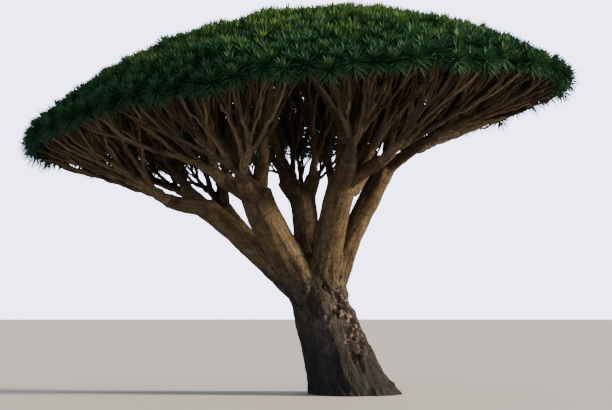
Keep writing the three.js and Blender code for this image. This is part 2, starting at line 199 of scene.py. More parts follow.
class LeafColours(bpy.types.PropertyGroup):
    deep: colour_setting("Deep", "Darkest of the greens", (0.033, 0.124, 0.058))
    dark: colour_setting("Dark", "Dark green", (0.038, 0.141, 0.060))
    middle: colour_setting("Middle", "Middle green", (0.043, 0.154, 0.055))
    fresh: colour_setting("Fresh", "Light green of young rosettes", (0.074, 0.198, 0.054))
    golden: colour_setting("Golden", "Yellow-green of the lightest rosettes", (0.128, 0.262, 0.062))


class StageSettings(bpy.types.PropertyGroup):
    floor: colour_setting("Floor", "Pale colour of the floor", (0.90, 0.895, 0.89))
    backdrop: colour_setting("Backdrop", "Pale colour behind the tree", (0.69, 0.73, 1.0))
    backdrop_light: bpy.props.FloatProperty(
        name="Room light", description="Strength of the even light from all round", default=0.25, min=0)
    key_light: bpy.props.FloatProperty(
        name="Key light", description="Strength of the warm light from the right", default=7.0, min=0)
    fill_light: bpy.props.FloatProperty(
        name="Fill light", description="Strength of the low soft light from the front", default=1.5, min=0)
    back_light: bpy.props.FloatProperty(
        name="Back light", description="Strength of the soft light from behind", default=0.6, min=0)
    distance: bpy.props.FloatProperty(
        name="Camera distance", description="How far the camera stands from the trunk",
        default=21, min=5, unit="LENGTH")
    eye_height: bpy.props.FloatProperty(
        name="Eye height", description="Height of the camera above the floor", default=1.3, unit="LENGTH")
    field_width: bpy.props.FloatProperty(
        name="Field width", description="Width of what the camera sees at the tree",
        default=10.3, min=1, unit="LENGTH")


class TreeSettings(bpy.types.PropertyGroup):
    wood: bpy.props.PointerProperty(type=WoodSettings)
    leaf: bpy.props.PointerProperty(type=LeafSettings)
    bark_colours: bpy.props.PointerProperty(type=BarkColours)
    leaf_colours: bpy.props.PointerProperty(type=LeafColours)
    stage: bpy.props.PointerProperty(type=StageSettings)


# Small geometry

def seeded_random(seed):
    """The solids' own generator, so that both grow the same tree."""
    state = seed

    def draw():
        nonlocal state
        state = (state * 1664525 + 1013904223) % 2**32
        return state / 2**32

    return draw


def lerp(a, b, share):
    return a + (b - a) * share


def blend(a, b, share):
    return lerp(a, b, share).normalized()


def direction(start, end):
    return (end - start).normalized()


def smoothstep(value, low, high):
    share = np.clip((value - low) / (high - low), 0, 1)
    return share * share * (3 - 2 * share)


def sweep(start, heading, end, arrival):
    """Control points of a curve that leaves start along heading and reaches end along arrival."""
    pull = (end - start).length / 3
    return [start, start + heading * pull, end - arrival * pull, end]


CURVE_SAMPLES = 65


def curve_stations(curve, shares):
    """Point and heading at each share of a curve's length."""
    control = np.array(curve)
    fine = np.linspace(0, 1, CURVE_SAMPLES)[:, None]
    bases = [(1 - fine) ** 3, 3 * fine * (1 - fine) ** 2, 3 * fine**2 * (1 - fine), fine**3]
    points = sum(basis * corner for basis, corner in zip(bases, control))
    lengths = np.concatenate([[0], np.cumsum(np.linalg.norm(np.diff(points, axis=0), axis=1))])
    stations = []
    for share in shares:
        t = np.interp(share * lengths[-1], lengths, fine[:, 0])
        point = (
            (1 - t) ** 3 * control[0] + 3 * t * (1 - t) ** 2 * control[1]
            + 3 * t**2 * (1 - t) * control[2] + t**3 * control[3]
        )
        heading = (
            (1 - t) ** 2 * (control[1] - control[0]) + 2 * t * (1 - t) * (control[2] - control[1])
            + t**2 * (control[3] - control[2])
        )
        stations.append((Vector(point), Vector(heading).normalized()))
    return stations


# The growing rule, as in the solids

def wood_radius(rosettes):
    return ROSETTE_TWIG_RADIUS * rosettes ** (1 / PIPE_POWER)


def sunflower(count, spread, crowding, turn):
    """Evenly spread places on a disc, each turned by the golden angle from the one before."""
    step = np.arange(count)
    reach = CROWN_REACH * spread * ((step + 0.5) / count) ** crowding
    angle = step * GOLDEN_ANGLE + turn
    return np.stack([reach * np.cos(angle), reach * np.sin(angle)], axis=1)


LEAST_SQUARE = 1e-6
LEAST_REACH = 0.001


def dome_places(flat):
    """Points on the dome over places in the rim's plane, and the way the dome faces there."""
    reach = np.linalg.norm(flat, axis=1)
    share = np.minimum(reach / DOME_REACH, 1)
    inner = np.maximum(1 - share**2, LEAST_SQUARE)
    height = DOME_RISE * np.where(share < 1, 1 - share**2, 0) ** DOME_POWER
    slope = 2 * share * DOME_POWER * DOME_RISE * inner ** (DOME_POWER - 1) / DOME_REACH
    slope = np.minimum(slope, STEEPEST_SLOPE)
    axes = np.array([CROWN_U, CROWN_V, CROWN_UP])
    points = np.array(CROWN_CENTRE) + np.column_stack([flat, height]) @ axes
    outward = flat * (slope / np.maximum(reach, LEAST_REACH))[:, None]
    facing = np.column_stack([outward, np.ones(len(flat))]) @ axes
    return points, facing / np.linalg.norm(facing, axis=1)[:, None]


def in_rim_plane(point):
    offset = point - CROWN_CENTRE
    return np.array([offset.dot(CROWN_U), offset.dot(CROWN_V)])


def nearest(places, targets):
    gaps = np.linalg.norm(targets[:, None] - places[None], axis=2)
    return gaps.argmin(axis=1)


def goal_of(flat, points):
    """Where a group of places pulls its branch: towards all, and most towards those nearest the rim."""
    pull = LEAST_PULL + (np.linalg.norm(flat, axis=1) / CROWN_REACH) ** RIM_PULL
    return Vector((points * pull[:, None]).sum(axis=0) / pull.sum())


def halves(flat):
    """Shares places out in two halves across the direction in which they spread most."""
    centred = flat - flat.mean(axis=0)
    uu, vv = (centred**2).sum(axis=0)
    uv = centred.prod(axis=1).sum()
    angle = 0.5 * math.atan2(2 * uv, uu - vv)
    order = np.argsort(flat @ np.array([math.cos(angle), math.sin(angle)]), kind="stable")
    middle = math.ceil(len(order) / 2)
    return order[:middle], order[middle:]


def tapered_stations(curve, first_radius, last_radius, steps):
    shares = np.linspace(0, 1, steps + 1)
    return [
        (point, heading, lerp(first_radius, last_radius, share))
        for share, (point, heading) in zip(shares, curve_stations(curve, shares))
    ]


def trunk_axis(height):
    return Vector((TRUNK_LEAN * height, 0, height))


def trunk_radius(height):
    for (z0, r0), (z1, r1) in zip(TRUNK_PROFILE, TRUNK_PROFILE[1:]):
        if height <= z1:
            return lerp(r0, r1, float(smoothstep(height, z0, z1)))
    return TRUNK_PROFILE[-1][1]


def trunk_swell(angle, height):
    """How much wider than round the trunk is: toes that fade upwards, and as many flutes as boughs."""
    swell = 1 + FLUTE_DEPTH * math.cos(len(BOUGHS) * angle)
    for azimuth, toe_swell in ROOT_TOES:
        facing = max(math.cos(angle - math.radians(azimuth)), 0)
        swell += toe_swell * math.exp(-height / TOE_HEIGHT) * facing**TOE_SHARPNESS
    return swell


class Bough:
    """One bough's curve from inside the trunk to its end."""

    def __init__(self, tip, radius, foot_share, spread, end_rise, limb_sag):
        end = Vector(tip)
        outward = end - trunk_axis(end.z * BOUGH_AIM)
        outward.z = 0
        outward.normalize()
        start = trunk_axis(BOUGH_START_HEIGHT) + outward * BOUGH_START_OFFSET
        heading = blend(trunk_axis(1).normalized(), direction(start, end), spread)
        arrival = (outward + UP * end_rise).normalized()
        self.curve = sweep(start, heading, end, arrival)
        self.radius = radius
        self.foot_share = foot_share
        self.limb_sag = limb_sag
        self.end = end
        self.heading = arrival

    def stations(self):
        foot_radius = self.radius * BOUGH_FOOT_GIRTH
        return tapered_stations(self.curve, foot_radius, self.radius, BOUGH_STEPS)


class Limb:
    """A limb's curve from its bough's end to its mass of foliage, and the places that the mass fills."""

    def __init__(self, bough, flat, points, facing, carried):
        self.flat = flat
        self.points = points
        self.facing = facing
        goal = goal_of(flat, points)
        gap = (goal - bough.end).length
        self.end = lerp(bough.end, goal, LIMB_SHARE) - CROWN_UP * bough.limb_sag * gap
        way = direction(bough.end, self.end)
        self.radius = bough.radius * min((len(flat) / carried) ** (1 / PIPE_POWER), LIMB_MOST_GIRTH)
        self.tip_radius = self.radius * FORK_GIRTH
        sideways = way - bough.heading * way.dot(bough.heading)
        start = bough.end + sideways * bough.radius * LIMB_OFFSET
        start -= bough.heading * bough.radius * LIMB_DEPTH
        self.heading = blend(way, direction(self.end, goal), BRANCH_TURN)
        self.curve = sweep(start, blend(bough.heading, way, BRANCH_TURN), self.end, self.heading)

    def stations(self):
        return tapered_stations(self.curve, self.radius, self.tip_radius, LIMB_STEPS)


def grow_branches(branch, limb, own, grown):
    """Carries a branch on towards its places, forking once for each halving, down to one rosette each."""
    at, heading, _ = branch[-1]
    if len(own) == 1:
        facing = Vector(limb.facing[own[0]])
        branch.append((Vector(limb.points[own[0]]), facing, ROSETTE_TWIG_RADIUS))
        return
    levels = math.ceil(math.log2(len(own)))
    goal = goal_of(limb.flat[own], limb.points[own])
    reach = (goal - at).length / (levels + 1)
    fork = at + direction(at, goal) * reach - CROWN_UP * FORK_SAG * reach
    arrival = blend(heading, direction(fork, goal), 1 - HEADING_KEPT)
    fork_radius = wood_radius(len(own)) * FORK_GIRTH
    branch.append((fork, arrival, fork_radius))
    half, other_half = (own[part] for part in halves(limb.flat[own]))
    other_goal = goal_of(limb.flat[other_half], limb.points[other_half])
    aside = blend(arrival, direction(fork, other_goal), BRANCH_TURN)
    start = fork - arrival * fork_radius * BRANCH_DEPTH
    side_branch = [(start, aside, fork_radius * BRANCH_GIRTH)]
    grown.append(side_branch)
    grow_branches(branch, limb, half, grown)
    grow_branches(side_branch, limb, other_half, grown)


Plan = namedtuple("Plan", "boughs limbs branches points facing")


@lru_cache(maxsize=1)
def plan_tree():
    """The boughs, the limbs, every branch as a list of stations, and where the rosettes are and face."""
    random = seeded_random(SEED)
    boughs = [Bough(**values) for values in BOUGHS.values()]
    centres = sunflower(MASSES, MASS_SPREAD, MASS_CROWDING, MASS_TURN)
    tufts = sunflower(TUFTS, 1, RIM_CROWDING, 0)
    for tuft in tufts:
        tuft[0] += (random() - 0.5) * TUFT_JITTER
        tuft[1] += (random() - 0.5) * TUFT_JITTER
    mass_of_tuft = nearest(centres, tufts)
    flat = sunflower(LIFE_ROSETTES, ROSETTE_SPREAD, RIM_CROWDING, 0)
    draws = np.random.default_rng(SEED)
    flat += draws.uniform(-ROSETTE_JITTER, ROSETTE_JITTER, flat.shape)
    tuft_of_rosette = nearest(tufts, flat)
    points, facing = dome_places(flat)
    swell = [noise.noise(Vector((*place, 0)) / SWELL_WIDTH) * SWELL_HEIGHT for place in flat]
    rise = ROSETTE_RISE + np.array(swell)
    rise += draws.uniform(-ROSETTE_UNEVENNESS, ROSETTE_UNEVENNESS, len(points))
    points += facing * rise[:, None]
    mass_of_rosette = mass_of_tuft[tuft_of_rosette]
    bough_of_mass = nearest(np.array([in_rim_plane(bough.end) for bough in boughs]), centres)
    limbs = []
    branches = []
    for mass in range(MASSES):
        own = np.flatnonzero(mass_of_rosette == mass)
        bough = boughs[bough_of_mass[mass]]
        carried = np.count_nonzero(bough_of_mass[mass_of_rosette] == bough_of_mass[mass])
        limb = Limb(bough, flat[own], points[own], facing[own], carried)
        limbs.append(limb)
        root = limb.end - limb.heading * limb.tip_radius * BRANCH_DEPTH
        stem = [(root, limb.heading, limb.tip_radius)]
        branches.append(stem)
        grow_branches(stem, limb, np.arange(len(own)), branches)
    return Plan(boughs, limbs, branches, points, facing)


# Meshes

CAP_RISE = 0.35


class Forms:
    """Points and faces of many forms, with each point's place along and around its own axis."""

    def __init__(self):
        self.points = []
        self.grain = []
        self.faces = []

    def add_tube(self, stations, sides, along=0.0):
        """A closed tube round stations of point, heading and radius. Its ends are closed with low cones."""
        _, heading, _ = stations[0]
        spoke = heading.orthogonal().normalized()
        first = len(self.points)
        angles = [2 * math.pi * side / sides for side in range(sides)]
        last = stations[0][0]
        for centre, next_heading, radius in stations:
            spoke = heading.rotation_difference(next_heading) @ spoke
            heading = next_heading
            side_way = heading.cross(spoke)
            along += (centre - last).length
            last = centre
            for angle in angles:
                self.points.append(centre + (spoke * math.cos(angle) + side_way * math.sin(angle)) * radius)
                self.grain.append((math.cos(angle) * radius, math.sin(angle) * radius, along))
        self.join(first, sides, len(stations) - 1)
        self.close(first, sides, stations[0], -1)
        self.close(first + (len(stations) - 1) * sides, sides, stations[-1], 1)

    def join(self, first, sides, spans):
        for start in range(first, first + spans * sides, sides):
            for side in range(sides):
                here = start + side
                after = start + (side + 1) % sides
                self.faces.append((here, after, after + sides, here + sides))

    def close(self, start, sides, station, way):
        centre, heading, radius = station
        tip = len(self.points)
        self.points.append(centre + heading * radius * CAP_RISE * way)
        self.grain.append(self.grain[start])
        for side in range(sides):
            edge = (start + side, start + (side + 1) % sides)
            self.faces.append((*edge[::way], tip))

    def mesh(self, name):
        mesh = bpy.data.meshes.new(name)
        mesh.from_pydata(self.points, [], self.faces)
        add_point_vectors(mesh, "grain", np.array(self.grain))
        return mesh


def add_point_vectors(mesh, name, values):
    attribute = mesh.attributes.new(name, "FLOAT_VECTOR", "POINT")
    attribute.data.foreach_set("vector", np.asarray(values, np.float32).ravel())


def point_vectors(mesh, name):
    values = np.zeros(len(mesh.vertices) * 3, np.float32)
    mesh.attributes[name].data.foreach_get("vector", values)
    return values.reshape(-1, 3)


def vertex_vectors(mesh, name):
    values = np.zeros(len(mesh.vertices) * 3, np.float32)
    mesh.vertices.foreach_get(name, values)
    return values.reshape(-1, 3)


def place_piece(name, mesh, material, nodes):
    """Puts a mesh in the scene as a piece that stands for solid nodes and takes its finish from a slot."""
    mesh.materials.append(material)
    piece = bpy.data.objects.new(name, mesh)
    bpy.context.collection.objects.link(piece)
    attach(piece, ROOT)
    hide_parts(*nodes)


def nodes_named(start):
    return sorted(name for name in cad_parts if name.startswith(start))


# Trunk, boughs and limbs as one skin

AXIS_STEP = 0.04
TRUNK_SIDES = 72
TRUNK_RINGS = 48
BURIED_DEPTH = 0.08
BOUGH_SIDES = 28
BOUGH_STEPS = 30
LIMB_SIDES = 16
LIMB_STEPS = 14
SKIN_EASE = 8
GRAIN_GAP = 7.3
POINTS_AT_ONCE = 8000
EASE_FACTOR = 0.5


def trunk_form(forms):
    """The trunk's own form, which starts a little below the ground and is cut flat later."""
    top = TRUNK_PROFILE[-1][0]
    first = len(forms.points)
    for ring in range(TRUNK_RINGS + 1):
        z = lerp(-BURIED_DEPTH, top, ring / TRUNK_RINGS)
        for side in range(TRUNK_SIDES):
            angle = 2 * math.pi * side / TRUNK_SIDES
            radius = trunk_radius(max(z, 0)) * trunk_swell(angle, max(z, 0))
            spoke = Vector((math.cos(angle), math.sin(angle), 0))
            forms.points.append(trunk_axis(z) + spoke * radius)
            forms.grain.append((spoke.x * radius, spoke.y * radius, z))
    forms.join(first, TRUNK_SIDES, TRUNK_RINGS)
    forms.close(first, TRUNK_SIDES, (trunk_axis(-BURIED_DEPTH), UP, 0), -1)
    last = first + TRUNK_RINGS * TRUNK_SIDES
    forms.close(last, TRUNK_SIDES, (trunk_axis(top), UP, TRUNK_PROFILE[-1][1]), 1)


class Axis:
    """Stations of one limb of the skeleton, with a frame carried along it, to lay the bark's grain by."""

    def __init__(self, stations, parts):
        self.centres = np.array([centre for centre, _, _ in stations])
        self.radii = np.array([radius for _, _, radius in stations])
        self.parts = parts
        steps = np.linalg.norm(np.diff(self.centres, axis=0), axis=1)
        self.along = np.concatenate([[0], np.cumsum(steps)])
        heading = stations[0][1]
        spoke = heading.orthogonal().normalized()
        frames = []
        for _, next_heading, _ in stations:
            spoke = heading.rotation_difference(next_heading) @ spoke
            heading = next_heading
            frames.append([spoke, heading.cross(spoke), heading])
        self.frames = np.array(frames)


def skeleton_axes(boughs, limbs):
    """Trunk, boughs and limbs as axes. Part 0 is skin of the trunk and part 1 skin of a bough or limb."""
    top = TRUNK_PROFILE[-1][0]
    heights = np.arange(-BURIED_DEPTH, top, AXIS_STEP)
    lean = trunk_axis(1).normalized()
    trunk = [(trunk_axis(z), lean, trunk_radius(max(z, 0))) for z in heights]
    axes = [Axis(trunk, np.zeros(len(trunk)))]
    shares = np.linspace(0, 1, BOUGH_STEPS + 1)
    for bough in boughs:
        axes.append(Axis(bough.stations(), (shares > bough.foot_share).astype(float)))
    for limb in limbs:
        axes.append(Axis(limb.stations(), np.ones(LIMB_STEPS + 1)))
    return axes


def lay_grain(points, axes):
    """For each point of the skin: its place round and along its nearest axis, and that axis's part."""
    centres = np.concatenate([axis.centres for axis in axes])
    radii = np.concatenate([axis.radii for axis in axes])
    frames = np.concatenate([axis.frames for axis in axes])
    parts = np.concatenate([axis.parts for axis in axes])
    along = np.concatenate([axis.along + GRAIN_GAP * number for number, axis in enumerate(axes)])
    nearest_station = np.empty(len(points), int)
    for chunk in np.array_split(np.arange(len(points)), max(len(points) // POINTS_AT_ONCE, 1)):
        gaps = np.linalg.norm(points[chunk, None] - centres[None], axis=2) / radii
        nearest_station[chunk] = gaps.argmin(axis=1)
    offset = points - centres[nearest_station]
    grain = np.einsum("nij,nj->ni", frames[nearest_station], offset)
    grain[:, 2] += along[nearest_station]
    return grain, parts[nearest_station]


# The scarred side of the trunk, to the right of its front
SCAR_CENTRE = Vector((0.06, -0.34, 1.2))
SCAR_SIZE = Vector((0.44, 0.5, 0.62))
SCAR_EDGE = (0.62, 1.0)
RAGGED_BY_LUMP = 0.45
RAGGED_BY_CRAG = 0.5
SCAR_FLOOR = 0.3
SCAR_BY_CRAG = 1.6
SCAR_BY_FURROW = 0.5

# Noise over the bark's grain: how fine it is round the wood, and along it. Lumps are a fractal, and have an
# increment, a lacunarity and octaves too
LUMPS = (3.2, 2.2)
LUMP_FRACTAL = (0.9, 2.0, 3)
FURROWS = (15, 2.2)
WRINKLES = (5, 12)
SWELLINGS = (4, 3.5)
SINEWS = (7, 0.8)
CRAGS = (7, 6)

# How much each counts in the relief, and the heights over which trunk bark and foot bark fade out
ROUGH_BARK = dict(lump=0.5, furrow=0.45, sinew=0.3, foot_sinew=0.5, wrinkle=0.2)
SMOOTH_BARK = dict(swelling=0.7, sinew=0.6, furrow=0.4, wrinkle=0.25)
TRUNK_BARK_FADE = (1.7, 2.4)
FOOT_BARK_FADE = (0.3, 1.2)


def on_grain(place, fineness):
    around, along = fineness
    x, y, z = place
    return Vector((x * around, y * around, z * along))


def scar_at(point, lump, crag):
    """1 inside the scarred side of the trunk and 0 outside, with a ragged edge."""
    gap = point - SCAR_CENTRE
    gap.x += (point.z - SCAR_CENTRE.z) * -TRUNK_LEAN
    spread = Vector((gap.x / SCAR_SIZE.x, gap.y / SCAR_SIZE.y, gap.z / SCAR_SIZE.z)).length
    return 1 - float(smoothstep(spread + RAGGED_BY_LUMP * lump + RAGGED_BY_CRAG * crag, *SCAR_EDGE))


def skin_relief(points, grain, wood):
    """For each point: how far the bark stands out, how deep it lies in a furrow, and how scarred it is."""
    on_trunk = 1 - smoothstep(points[:, 2], *TRUNK_BARK_FADE)
    on_foot = 1 - smoothstep(points[:, 2], *FOOT_BARK_FADE)
    relief = np.empty((len(points), 3))
    for number, (point, place, trunk, near_foot) in enumerate(zip(points, grain, on_trunk, on_foot)):
        lump = noise.fractal(on_grain(place, LUMPS), *LUMP_FRACTAL)
        furrow = noise.noise(on_grain(place, FURROWS))
        wrinkle = noise.noise(on_grain(place, WRINKLES))
        swelling = noise.noise(on_grain(place, SWELLINGS))
        sinew = 1 - 2 * abs(noise.noise(on_grain(place, SINEWS)))
        crag = noise.noise(on_grain(place, CRAGS))
        sinews = ROUGH_BARK["sinew"] + ROUGH_BARK["foot_sinew"] * near_foot
        rough = (
            ROUGH_BARK["lump"] * lump + ROUGH_BARK["furrow"] * furrow + sinews * sinew
            - ROUGH_BARK["wrinkle"] * abs(wrinkle)
        )
        smooth = (
            SMOOTH_BARK["swelling"] * swelling + SMOOTH_BARK["sinew"] * sinew
            + SMOOTH_BARK["furrow"] * furrow + SMOOTH_BARK["wrinkle"] * wrinkle
        )
        scar = scar_at(Vector(point), lump, crag) if trunk > 0 else 0
        bark = trunk * rough + (1 - trunk) * smooth
        depth = trunk * wood.trunk_relief + (1 - trunk) * wood.bough_relief
        eaten = scar * wood.scar_depth * (SCAR_FLOOR + SCAR_BY_CRAG * abs(crag) + SCAR_BY_FURROW * furrow)
        relief[number] = (bark * depth - eaten, bark, scar)
    return relief


def fuse(name, mesh, voxel):
    """One closed skin over all the forms of a mesh, eased where they meet."""
    block = bpy.data.objects.new(name, mesh)
    bpy.context.collection.objects.link(block)
    remesh = block.modifiers.new("fuse", "REMESH")
    remesh.mode = "VOXEL"
    remesh.voxel_size = voxel
    ease = block.modifiers.new("ease", "SMOOTH")
    ease.factor = EASE_FACTOR
    ease.iterations = SKIN_EASE
    depsgraph = bpy.context.evaluated_depsgraph_get()
    fused = bpy.data.meshes.new_from_object(block.evaluated_get(depsgraph))
    bpy.data.objects.remove(block)
    fused.name = name
    return fused


def cut_flat(mesh):
    """Cuts a mesh off at the ground and closes it with a flat face."""
    shape = bmesh.new()
    shape.from_mesh(mesh)
    everything = shape.verts[:] + shape.edges[:] + shape.faces[:]
    cut = bmesh.ops.bisect_plane(
        shape, geom=everything, plane_co=(0, 0, 0), plane_no=(0, 0, 1), clear_inner=True)
    rim = [item for item in cut["geom_cut"] if isinstance(item, bmesh.types.BMEdge)]
    bmesh.ops.edgeloop_fill(shape, edges=rim)
    shape.to_mesh(mesh)
    shape.free()


def part_of_skin(skin, name, wanted):
    """The faces of one part of the skin, with the normals that they have in the whole skin."""
    mesh = skin.copy()
    mesh.name = name
    parts = point_vectors(mesh, "part")[:, 0]
    shape = bmesh.new()
    shape.from_mesh(mesh)
    shape.verts.ensure_lookup_table()
    others = [
        face for face in shape.faces
        if (sum(parts[corner.index] for corner in face.verts) / len(face.verts) > 0.5) != wanted
    ]
    bmesh.ops.delete(shape, geom=others, context="FACES")
    shape.to_mesh(mesh)
    shape.free()
    mesh.shade_smooth()
    mesh.normals_split_custom_set_from_vertices(point_vectors(mesh, "skin_normal"))
    return mesh


@lru_cache(maxsize=1)
def skin_of_wood():
    """The whole skin over trunk, boughs and limbs, with its relief and grain."""
    wood = bpy.context.scene.dragon_tree.wood
    plan = plan_tree()
    forms = Forms()
    trunk_form(forms)
    for bough in plan.boughs:
        forms.add_tube(bough.stations(), BOUGH_SIDES)
    for limb in plan.limbs:
        forms.add_tube(limb.stations(), LIMB_SIDES)
    skin = fuse("skin", forms.mesh("skin_forms"), wood.voxel)
    points = vertex_vectors(skin, "co")
    grain, parts = lay_grain(points, skeleton_axes(plan.boughs, plan.limbs))
    relief = skin_relief(points, grain, wood)
    points += vertex_vectors(skin, "normal") * relief[:, :1]
    skin.vertices.foreach_set("co", points.ravel())
    skin.update()
    add_point_vectors(skin, "grain", grain)
    add_point_vectors(skin, "relief", relief)
    add_point_vectors(skin, "part", np.repeat(parts[:, None], 3, axis=1))
    add_point_vectors(skin, "skin_normal", vertex_vectors(skin, "normal"))
    cut_flat(skin)
    return skin


# Branches

BRANCH_SPANS = 3
BRANCH_WANDER = 0.04
GIRTH_WANDER = 0.06
THICK_BRANCH = 0.04
SIDES_BY_RADIUS = [(0.075, 12), (0.05, 9), (0.03, 6), (0, 5)]


def branch_stations(branch, waist, draws):
    """A branch's stations with more of them between its forks, thinner there and a little uneven."""
    stations = [branch[0]]
    for (start, heading, radius), (end, arrival, end_radius) in zip(branch, branch[1:]):
        shares = np.linspace(0, 1, BRANCH_SPANS + 1)[1:]
        between = curve_stations(sweep(start, heading, end, arrival), shares)
        for share, (point, way) in zip(shares, between):
            girth = lerp(radius, end_radius, share)
            girth *= 1 - waist * math.sin(math.pi * share) + draws.uniform(-GIRTH_WANDER, GIRTH_WANDER)
            aside = Vector(draws.uniform(-BRANCH_WANDER, BRANCH_WANDER, 3)) * (end - start).length
            if share == 1:
                aside = Vector()
            stations.append((point + aside, way, girth))
    return stations


def branches_mesh(name, branches, waist):
    draws = np.random.default_rng(SEED)
    forms = Forms()
    for number, branch in enumerate(branches):
        sides = next(count for radius, count in SIDES_BY_RADIUS if branch[0][2] >= radius)
        forms.add_tube(branch_stations(branch, waist, draws), sides, along=number * GRAIN_GAP)
    mesh = forms.mesh(name)
    mesh.shade_smooth()
    return mesh


# Leaves

LEAF_CORNERS = 6
LEAF_FACES = np.array([(0, 1, 3), (0, 3, 2), (1, 4, 3), (2, 3, 5), (3, 4, 5)])
LEAF_WIDEST = 0.42
LEAF_FOOT_WIDTH = 0.7
LEAF_FOLD = 0.3
LEAF_STEM = 0.09
FIRST_LEAF_ANGLE = math.radians(12)
LAST_LEAF_ANGLE = math.radians(124)
ANGLE_CURVE = 0.8
ANGLE_WANDER = 0.14
TURN_WANDER = 0.2
YOUNG_LEAF_SHARE = 0.72
LENGTH_RANGE = (0.88, 1.06)
WIDTH_RANGE = (0.85, 1.15)
DROOP_RANGE = (0.4, 1.6)
DROOP_SHORTENS = 0.3
FIRST_SPOKE = np.array([0.3, 0.9, 0.2])
TINTS = ["deep", "dark", "middle", "fresh", "golden"]
TINT_SHARES = [0.2, 0.28, 0.27, 0.17, 0.08]
HEART_SHARE = 0.3
SKIRT_SHARE = 0.3


def unit(vectors):
    return vectors / np.linalg.norm(vectors, axis=-1, keepdims=True)


def rosette_leaves(points, axes, leaf, draws):
    """Six corners for each leaf of each rosette, by rosette, leaf, corner and part.

    They are its foot left and right, its widest place left, keel and right, and its tip."""
    count = leaf.per_rosette
    rosettes = len(points)
    age = (np.arange(count) + 0.5) / count
    lean = lerp(FIRST_LEAF_ANGLE, LAST_LEAF_ANGLE, age**ANGLE_CURVE)
    lean = lean + draws.uniform(-ANGLE_WANDER, ANGLE_WANDER, (rosettes, count))
    turn = np.arange(count) * GOLDEN_ANGLE + draws.uniform(0, 2 * math.pi, (rosettes, 1))
    turn = turn + draws.uniform(-TURN_WANDER, TURN_WANDER, (rosettes, count))
    sideways = unit(np.cross(axes, FIRST_SPOKE))
    other_way = np.cross(axes, sideways)
    spoke = (
        sideways[:, None] * np.cos(turn)[..., None] + other_way[:, None] * np.sin(turn)[..., None]
    )
    axis = np.broadcast_to(axes[:, None], spoke.shape)
    way = axis * np.cos(lean)[..., None] + spoke * np.sin(lean)[..., None]
    upper = axis * np.sin(lean)[..., None] - spoke * np.cos(lean)[..., None]
    across = np.cross(way, upper)
    length = leaf.length * lerp(YOUNG_LEAF_SHARE, 1, np.minimum(age * 2, 1))
    length = (length * draws.uniform(*LENGTH_RANGE, (rosettes, count)))[..., None]
    half_width = leaf.width / 2 * draws.uniform(*WIDTH_RANGE, (rosettes, count, 1))
    droop = leaf.droop * draws.uniform(*DROOP_RANGE, (rosettes, count, 1)) * np.sin(lean)[..., None]
    foot = points[:, None] - axis * (LEAF_STEM * age)[:, None]
    widest = foot + way * length * LEAF_WIDEST
    tip = foot + way * length * (1 - DROOP_SHORTENS * droop) - np.array(UP) * length * droop
    corners = [
        foot - across * half_width * LEAF_FOOT_WIDTH,
        foot + across * half_width * LEAF_FOOT_WIDTH,
        widest - across * half_width,
        widest - upper * half_width * 2 * LEAF_FOLD,
        widest + across * half_width,
        tip,
    ]
    return np.stack(corners, axis=2)


def leaves_mesh(name, corners):
    """A mesh of leaves from their corners, six for each."""
    leaves = len(corners) // LEAF_CORNERS
    faces = (np.arange(leaves)[:, None, None] * LEAF_CORNERS + LEAF_FACES).reshape(-1, 3)
    mesh = bpy.data.meshes.new(name)
    mesh.vertices.add(len(corners))
    mesh.vertices.foreach_set("co", corners.astype(np.float32).ravel())
    mesh.loops.add(faces.size)
    mesh.loops.foreach_set("vertex_index", faces.ravel().astype(np.int32))
    mesh.polygons.add(len(faces))
    mesh.polygons.foreach_set("loop_start", np.arange(0, faces.size, 3, dtype=np.int32))
    mesh.update(calc_edges=True)
    return mesh


ROSETTE_LIFT = 0.3
ROSETTE_WANDER = 0.16


def rosette_axes(facing, draws):
    """The way each rosette opens: as the dome faces, turned up a little, and a little uneven."""
    wander = draws.normal(0, ROSETTE_WANDER, facing.shape)
    return unit(facing + np.array([0, 0, ROSETTE_LIFT]) + wander)


# Rosette tints: by chance, and by painted light, lighter to the lit side and the top, darker at the rim
PAINTED_SUN_SIDE = np.array([0.55, -0.1, 0.8])
PAINTED_SUN_SPAN = (-0.6, 0.7)
PAINTED_TOP_LIGHT_SPAN = (0.05, 0.7)
TINT_BY_CHANCE = 0.5
TINT_BY_PAINTED_SUN = 0.2
TINT_BY_PAINTED_TOP_LIGHT = 0.3


def deal_tints(points, count, draws):
    """A tint for each leaf: that of its rosette, lighter in its heart and darker in its lowest leaves.

    As painted light, light rosettes fall more often to the crown's top and lit side, seldom near its rim."""
    offset = points - np.array(CROWN_CENTRE)
    # Painted light: how far each rosette lies to the lit side, and how high it stands over the rim
    painted_sunlight = smoothstep(offset @ unit(PAINTED_SUN_SIDE) / CROWN_REACH, *PAINTED_SUN_SPAN)
    height = smoothstep(offset @ np.array(CROWN_UP) / DOME_RISE, *PAINTED_TOP_LIGHT_SPAN)
    chance = TINT_BY_CHANCE * draws.uniform(0, 1, len(points))
    # Painted light makes light tints likelier on the lit side and the top, which leaves painted shade at
    # the rim
    chance = chance + TINT_BY_PAINTED_SUN * painted_sunlight + TINT_BY_PAINTED_TOP_LIGHT * height
    order = np.argsort(np.argsort(chance)) / len(points)
    tint = np.searchsorted(np.cumsum(TINT_SHARES)[:-1], order)
    age = (np.arange(count) + 0.5) / count
    step = (age < HEART_SHARE).astype(int) - (age > 1 - SKIRT_SHARE)
    return np.clip(tint[:, None] + step, 0, len(TINTS) - 1)


# Materials

def new_material(name):
    material = bpy.data.materials.new(name)
    material.use_nodes = True
    return material, material.node_tree


def add_node(tree, kind, inputs=None, **settings):
    """A node with its settings, and its inputs set to values or linked to sockets."""
    node = tree.nodes.new(kind)
    for name, value in settings.items():
        setattr(node, name, value)
    for name, value in (inputs or {}).items():
        if isinstance(value, bpy.types.NodeSocket):
            tree.links.new(value, node.inputs[name])
        else:
            node.inputs[name].default_value = value
    return node


def scaled(tree, vector, scale):
    """A vector with each of its parts scaled."""
    node = add_node(tree, "ShaderNodeVectorMath", {0: vector, 1: scale}, operation="MULTIPLY")
    return node.outputs["Vector"]


